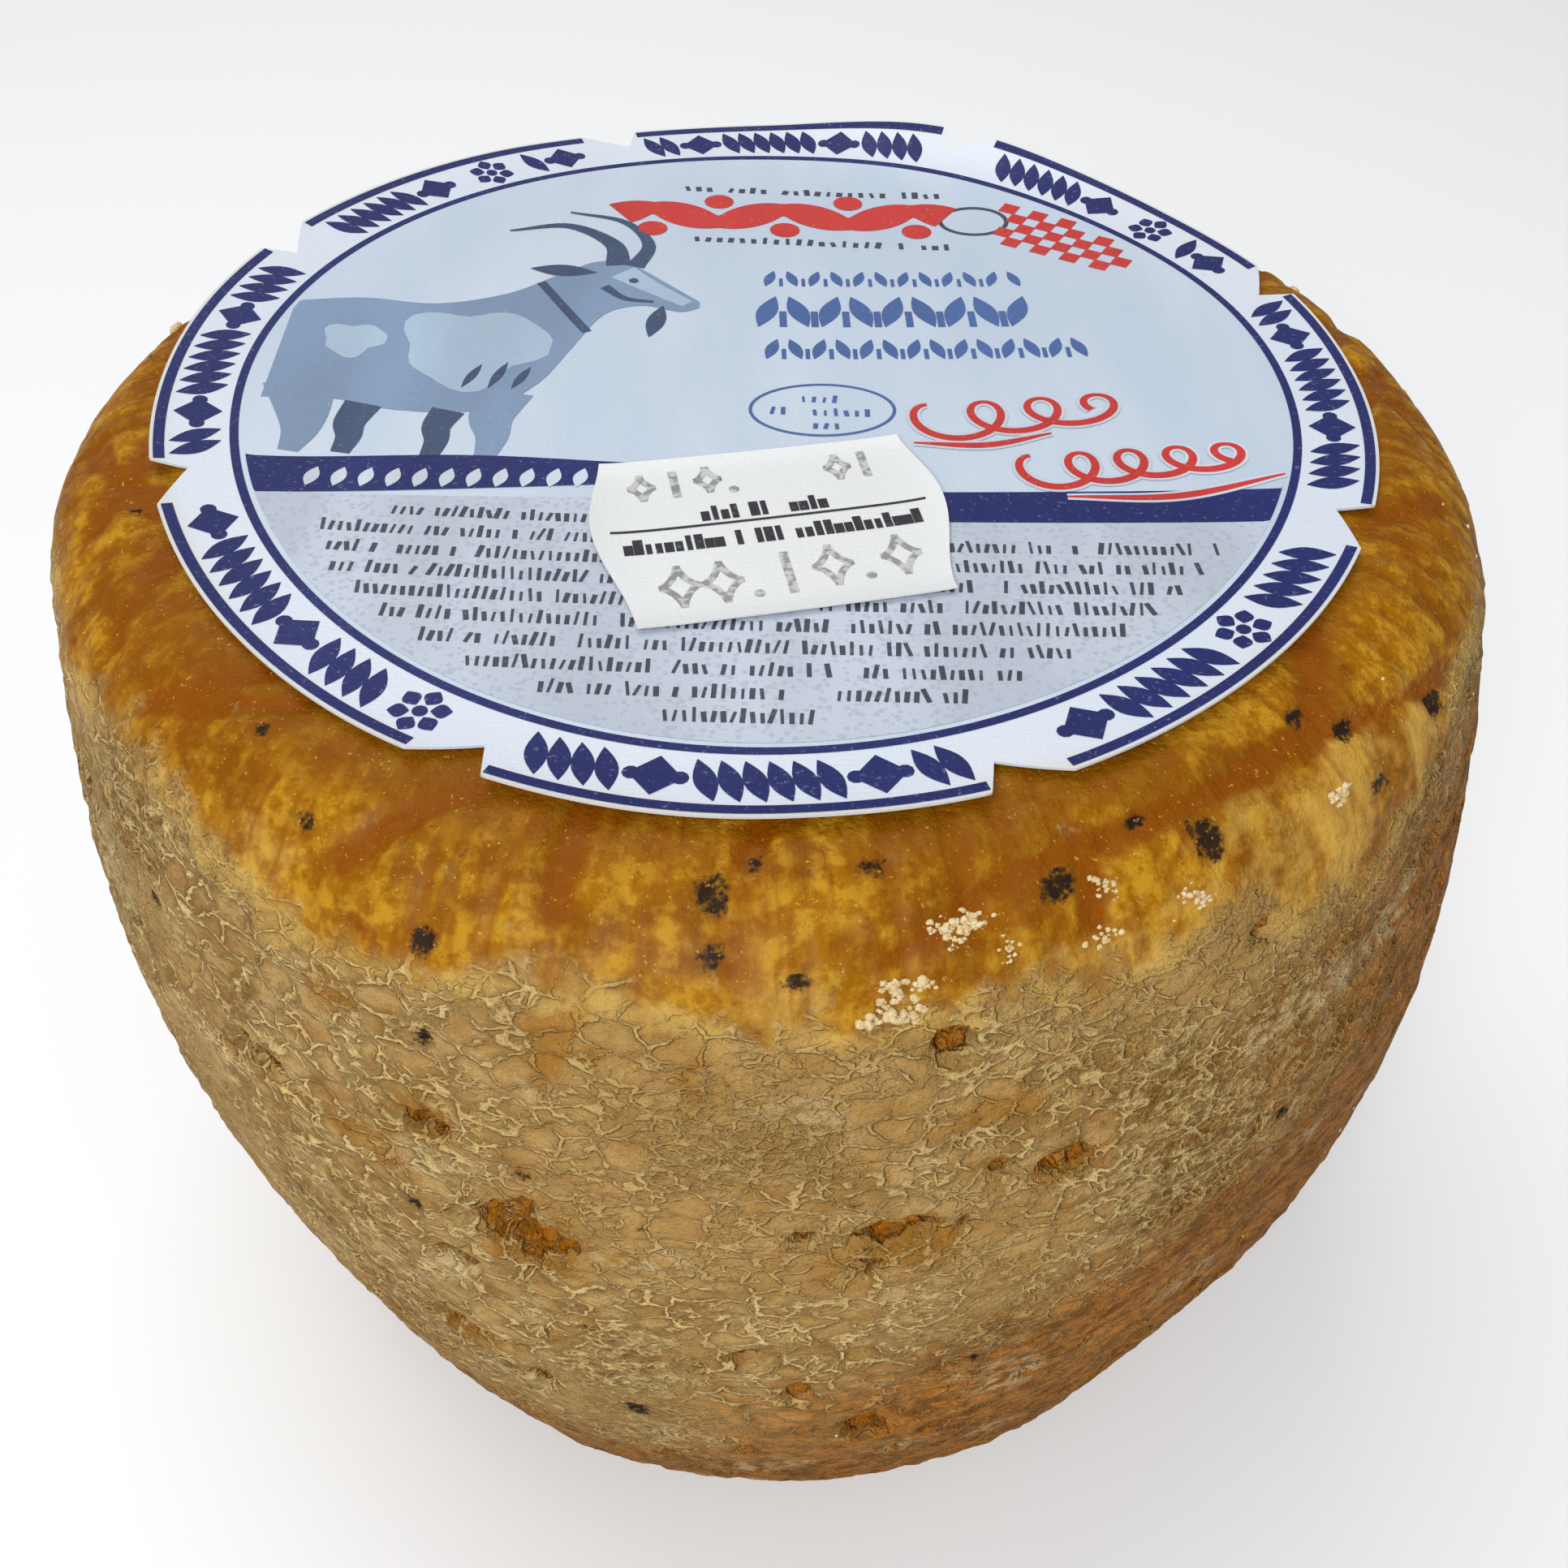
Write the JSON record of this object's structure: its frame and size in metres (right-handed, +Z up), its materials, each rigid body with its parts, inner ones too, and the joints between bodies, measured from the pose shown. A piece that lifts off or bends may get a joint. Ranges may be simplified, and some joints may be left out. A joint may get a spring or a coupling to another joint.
{
  "type": "cheese wheel",
  "caption": "Small pressed goat's-milk cheese wheel with a bulging side, rounded edges and a natural rind, a round paper label on its top and a lot sticker across the label.",
  "frame": {"origin": "middle of the flat base that the wheel rests on", "axes": "+Z up along the wheel's axis, -Y to the front, the side the label's print is read from"},
  "size_m": [0.1194, 0.1194, 0.0889],
  "materials": {
    "rind": "ripened cheese rind, amber and slightly greasy on top, dry tan on the side",
    "label_paper": "printed, lightly varnished",
    "sticker_paper": "uncoated white"
  },
  "bodies": {
    "root": {"cheese_wheel": "rind", "paper_label": "label_paper", "lot_sticker": "sticker_paper"}
  },
  "joints": []
}
